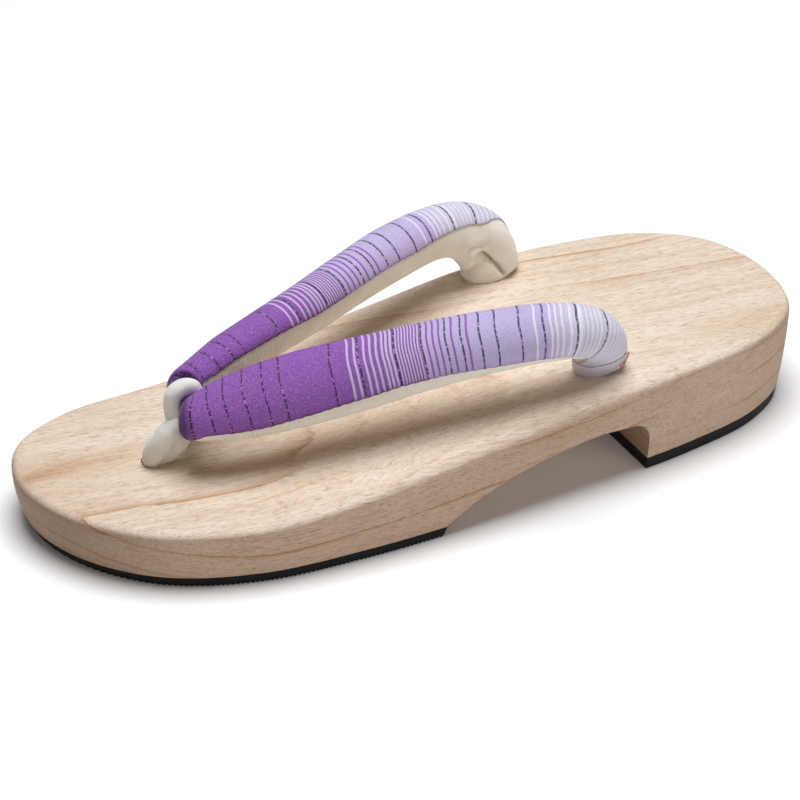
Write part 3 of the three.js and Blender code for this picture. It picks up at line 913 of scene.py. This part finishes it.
cloth_material, cloth_shader, place = new_finish(
    "striped_cloth", Sheen_Weight=0.2, Sheen_Roughness=0.4, Specular_IOR_Level=0.3)
along = place.add("Attribute", {"attribute_name": "along"}, output=2)
around = place.add("Attribute", {"attribute_name": "around"}, output=2)
from_hem = place.add("Attribute", {"attribute_name": "from_hem"}, output=2)
from_tip = place.add("Attribute", {"attribute_name": "from_tip"}, output=2)
uneven = place.speckle(0.5, 2.0) - 0.5
yarn = along + uneven * YARN_STRAY


def threads(positions, half):
    """A mask of cross threads at these places along the strap."""
    mask = yarn.within(positions[0], half)
    for position in positions[1:]:
        mask = mask + yarn.within(position, half)
    return mask


def stripes(first, last, pitch, share):
    """A mask of even stripes, each of which takes up this share of the pitch."""
    inside = yarn.within((first + last) / 2, (last - first) / 2)
    phase = yarn / pitch
    return inside * phase.sum("FRACT", phase).within(0.5, share / 2)


dark = threads(DARK_THREADS, DARK_HALF)
white = (threads(WHITE_ON_PURPLE, WHITE_ON_PURPLE_HALF) + stripes(*CLOSE_STRIPES, 0.5)
         + threads(WHITE_ON_LILAC, WHITE_ON_LILAC_HALF))
violet = threads(PURPLE_ON_LILAC, PURPLE_HALF)
pale = stripes(*PALE_STRIPES, 0.4)
warp = (around * WARP).sum("SINE", around * WARP)
weft = (along * WEFT).sum("SINE", along * WEFT)
weave = warp * weft * 0.5 + 0.5
crepe = place.speckle(2.3, 3.0, 0.7)
faded = along.rise(*LILAC_FROM)
bleached = along.rise(*WHITE_FROM)
tone = bleached.mixed(faded.mixed(paint(156, 99, 189), paint(204, 191, 232)),
                      paint(232, 229, 243))
darker_fleck = bleached.mixed(faded.mixed(paint(106, 52, 134), paint(170, 151, 204)),
                      paint(206, 202, 222))
lighter_fleck = bleached.mixed(faded.mixed(paint(184, 134, 212), paint(220, 209, 242)),
                        paint(244, 242, 250))
# Darker and lighter flecks at random, the darker ones also following the weave a little.
tone = (crepe.rise(0.35, 0.7) * 0.5 + weave * 0.1).mixed(tone, darker_fleck)
tone = ((1 - crepe).rise(0.45, 0.7) * 0.55).mixed(tone, lighter_fleck)
tone = (white * 0.8).mixed(tone, faded.mixed(paint(222, 208, 238), paint(243, 241, 250)))
tone = (violet * 0.9).mixed(tone, paint(146, 88, 178))
tone = (pale * 0.6).mixed(tone, paint(184, 182, 206))

# Painted shade darkens the cover towards its hems and its tip, where it turns down; by the hems it
# is partly a darker dye as well.
hem_shade = (1 - from_hem.rise(0.2, 2.2)) * 0.35 + (1 - from_hem.rise(0.2, 0.7)) * 0.55
hem_shade = hem_shade.sum("MAXIMUM", hem_shade, (1 - from_tip.rise(1.6, 4.4)) * 0.85)
tone = hem_shade.mixed(tone, bleached.mixed(faded.mixed(paint(84, 40, 108),
                                                        paint(148, 130, 178)),
                                            paint(200, 196, 212)))

# Painted highlight: small light glints spaced along each dark thread.
painted_glint = around / PAINTED_GLINT_PITCH + uneven * 3.0
painted_glint = painted_glint.sum("FRACT", painted_glint).within(0.5, 0.09)
metal = dark * (1 - painted_glint * 0.6)
tone = (metal * 0.9).mixed(tone, paint(58, 26, 78))
tone = (dark * painted_glint * 0.5).mixed(tone, paint(214, 184, 236))
feed(cloth_shader, Base_Color=tone, Roughness=0.72 - dark * 0.35 + crepe * 0.15,
     Normal=bumped(weave * 0.5 + crepe * 0.6 - dark * 0.9 + white * 0.4, 0.12))

for which, strap in straps.items():
    cover = cover_sheet(strap, which + "_strap_cover", cloth_material)
    wrap = cover.modifiers.new("drawn_tight", "SHRINKWRAP")
    wrap.target = rolls[which]
    wrap.wrap_method = "NEAREST_SURFACEPOINT"
    wrap.wrap_mode = "OUTSIDE_SURFACE"
    wrap.offset = COVER_GAP * MM
    settle(cover)
    hem = cover.modifiers.new("cloth", "SOLIDIFY")
    hem.thickness = COVER_THICK * MM
    hem.offset = 1
    puff = cover.modifiers.new("soft_surface", "SUBSURF")
    puff.levels = puff.render_levels = 1
    ready(cover, "strap_cloth")


# ---- loose thread end ------------------------------------------------------------------------
# The outer cover is closed at the back with red cotton, and a short end of it is left lying round
# the foot of the strap, on the wood.

THREAD_HALF = 0.24              # half its thickness
THREAD_RUN = ((130.2, 58), (131.2, 52), (132.0, 44), (132.5, 35), (132.8, 26))  # arc, angle
THREAD_LIFT = 0.9
THREAD_SIDES = 12
TUBE_STEPS = 6                  # points between two rows of a soft tube


def strip_tube(rows, sides):
    """A soft flat tube through rows of x, y, z, half width and half thickness."""
    path = through([row[:3] for row in rows], TUBE_STEPS)
    rings = []
    for i, point in enumerate(path):
        tangent = path[min(i + 1, len(path) - 1)] - path[max(i - 1, 0)]
        row = min(i / TUBE_STEPS, len(rows) - 1.001)
        low, high = Vector(rows[int(row)][3:]), Vector(rows[int(row) + 1][3:])
        wide, thick = low.lerp(high, row - int(row))
        across = Vector((1, 0, 0))
        through_axis = across.cross(tangent).normalized()
        rings.append([spot(point + across * wide * math.cos(math.tau * k / sides)
                           + through_axis * thick * math.sin(math.tau * k / sides))
                      for k in range(sides)])
    return stack_rings(rings)


thread_material, thread_shader, place = new_finish("red_cotton", Sheen_Weight=0.3)
twist = place.speckle(1.1, 2.0)
feed(thread_shader, Roughness=0.7 + twist * 0.2, Normal=bumped(twist, 0.08),
     Base_Color=twist.rise(0.4, 0.62).mixed(paint(232, 158, 146), paint(164, 74, 74)))
thread_rows = []
for arc, angle in THREAD_RUN:
    lift = THREAD_LIFT + lobe_height(1, arc, angle)
    thread_rows.append((*straps["outer"].at(arc, angle, lift), THREAD_HALF, THREAD_HALF))
thread_end = new_object("red_thread_end", strip_tube(thread_rows, THREAD_SIDES), thread_material)
ready(thread_end, "strap_cloth")


# ---- toe loop --------------------------------------------------------------------------------
# A tube of off-white velvet goes round the pinched middle of the V, and its two ends lie one on
# the other down into the front hole, where they are held from below.

LOOP_Y = -72.8
LOOP_Z = 33.8
LOOP_HALF = (4.15, 7.0)         # middle of the tube from the loop's middle, in y and in z
LOOP_LEAN = 0.13                # radians, its top towards the toe
LOOP_TUBE = (2.3, 2.2)          # half its width across and half its thickness
LOOP_LEGS = {                   # x from the middle line, y, z, half wide across, half thick
    "front": ((1.3, -76.2, 32.4, 1.2, 1.2), (1.5, -77.1, 30.6, 2.4, 2.4),
              (1.5, -78.8, 28.0, 3.0, 3.5), (0.9, -80.8, 25.0, 3.2, 3.7),
              (-0.3, -82.6, 21.6, 3.1, 3.4), (-1.5, -83.0, 18.6, 2.9, 2.9),
              (-2.3, -83.0, 16.4, 2.6, 2.2), (-2.4, -83.0, 12.0, 2.4, 2.0),
              (-2.4, -83.0, 8.0, 2.2, 1.8)),
    "rear": ((1.2, -72.8, 27.6, 1.2, 1.4), (1.2, -74.2, 25.8, 2.2, 2.6),
             (0.9, -76.4, 23.4, 2.8, 3.0), (0.1, -78.8, 20.6, 2.8, 2.6),
             (-1.5, -80.8, 18.2, 2.5, 1.8), (-2.5, -81.4, 16.0, 2.3, 1.5),
             (-2.5, -81.4, 12.0, 2.1, 1.4), (-2.5, -81.4, 8.0, 2.0, 1.3)),
}
LOOP_SIDES = 32
LOOP_STEPS = 96

velvet_material, velvet_shader, place = new_finish(
    "off_white_velvet", Sheen_Weight=0.4, Sheen_Roughness=0.4, Specular_IOR_Level=0.1)
pile = place.speckle(1.7, 5.0, 0.8)
crushed = place.speckle(0.35, 3.0, 0.6)
feed(velvet_shader, Roughness=0.88 + pile * 0.1, Normal=bumped(pile + crushed, 0.3),
     Base_Color=(crushed.rise(0.3, 0.7) * 0.6 + pile * 0.4).mixed(paint(254, 253, 248),
                                                                  paint(244, 243, 235)))

ring_bm = bmesh.new()
bmesh.ops.create_circle(ring_bm, segments=LOOP_SIDES, radius=1,
                        matrix=Matrix.Diagonal((LOOP_TUBE[0], LOOP_TUBE[1], 1, 1)))
bmesh.ops.translate(ring_bm, vec=(0, LOOP_HALF[0], 0), verts=ring_bm.verts[:])
bmesh.ops.spin(ring_bm, geom=ring_bm.verts[:] + ring_bm.edges[:], cent=(0, 0, 0),
               axis=(1, 0, 0), angle=math.tau, steps=LOOP_STEPS, use_merge=True)
for vert in ring_bm.verts:
    vert.co.z += math.copysign(LOOP_HALF[1] - LOOP_HALF[0], vert.co.z) * smooth(
        abs(vert.co.z) / LOOP_HALF[0])
bmesh.ops.rotate(ring_bm, cent=(0, 0, 0), matrix=Matrix.Rotation(LOOP_LEAN, 3, "X"),
                 verts=ring_bm.verts[:])
bmesh.ops.scale(ring_bm, vec=(MM, MM, MM), verts=ring_bm.verts[:])
bmesh.ops.translate(ring_bm, vec=spot((middle_x(LOOP_Y), LOOP_Y, LOOP_Z)),
                    verts=ring_bm.verts[:])
bmesh.ops.recalc_face_normals(ring_bm, faces=ring_bm.faces[:])
toe_ring = new_object("toe_loop_ring", ring_bm, velvet_material)
ready(toe_ring, "loop_velvet", "toe_loop")
for which, rows in LOOP_LEGS.items():
    rows = [(middle_x(y) + x, y, z, wide, thick) for x, y, z, wide, thick in rows]
    leg = new_object("toe_loop_" + which + "_end", strip_tube(rows, LOOP_SIDES), velvet_material)
    ready(leg, "loop_velvet")


# ---- where the straps join -------------------------------------------------------------------
# Inside the loop the two covers are sewn together in a short pinched neck. Under the arch each
# strap's gathered end is tied in a plain overhand knot, which keeps it from slipping back out.

NECK_HALF_LENGTH = 6.5
NECK_SECTION = (1.9, 4.8)       # half sizes in y and in z, at its middle
NECK_FLARE = 0.35
NECK_ROWS = 12
NECK_SIDES = 32
KNOT_MIDDLE = (43.5, 14.0)      # y and z
KNOT_STEPS = 144
KNOT_REACH = 1.2                # the sizes of its winding middle line, and the end's own radius
KNOT_TALL = 1.5
KNOT_TUBE = 1.6
KNOT_AHEAD = 0.01               # how far ahead its direction is looked up

neck_rings = []
for row in range(NECK_ROWS + 1):
    out = 2 * row / NECK_ROWS - 1
    flare = 1 + NECK_FLARE * out * out
    neck_rings.append([
        spot((middle_x(LOOP_Y) + NECK_HALF_LENGTH * out,
              LOOP_Y + NECK_SECTION[0] * flare * math.cos(math.tau * k / NECK_SIDES),
              LOOP_Z + NECK_SECTION[1] * flare * math.sin(math.tau * k / NECK_SIDES)))
        for k in range(NECK_SIDES)])
neck = new_object("strap_join", stack_rings(neck_rings), cloth_material)
ready(neck, "strap_cloth", "thong_straps")


def knot_point(turn, middle):
    """The middle of the knotted end, `turn` round it, for a knot with its middle there."""
    reach = KNOT_REACH * (2 + math.cos(3 * turn))
    return middle + Vector((reach * math.cos(2 * turn), reach * math.sin(2 * turn),
                            KNOT_TALL * math.sin(3 * turn)))


for which, (hole_x, _, _) in zip(straps, REAR_HOLES):
    middle = Vector((hole_x, *KNOT_MIDDLE))
    knot_rings = []
    for step in range(KNOT_STEPS):
        turn = math.tau * step / KNOT_STEPS
        here = knot_point(turn, middle)
        way = (knot_point(turn + KNOT_AHEAD, middle) - here).normalized()
        side_way = way.cross(here - middle).normalized()
        out_way = side_way.cross(way)
        knot_rings.append([
            spot(here + (side_way * math.cos(math.tau * k / LOOP_SIDES)
                         + out_way * math.sin(math.tau * k / LOOP_SIDES)) * KNOT_TUBE)
            for k in range(LOOP_SIDES)])
    knot = new_object(which + "_strap_knot", stack_rings(knot_rings, looped=True), felt_material)
    ready(knot, "strap_lining")
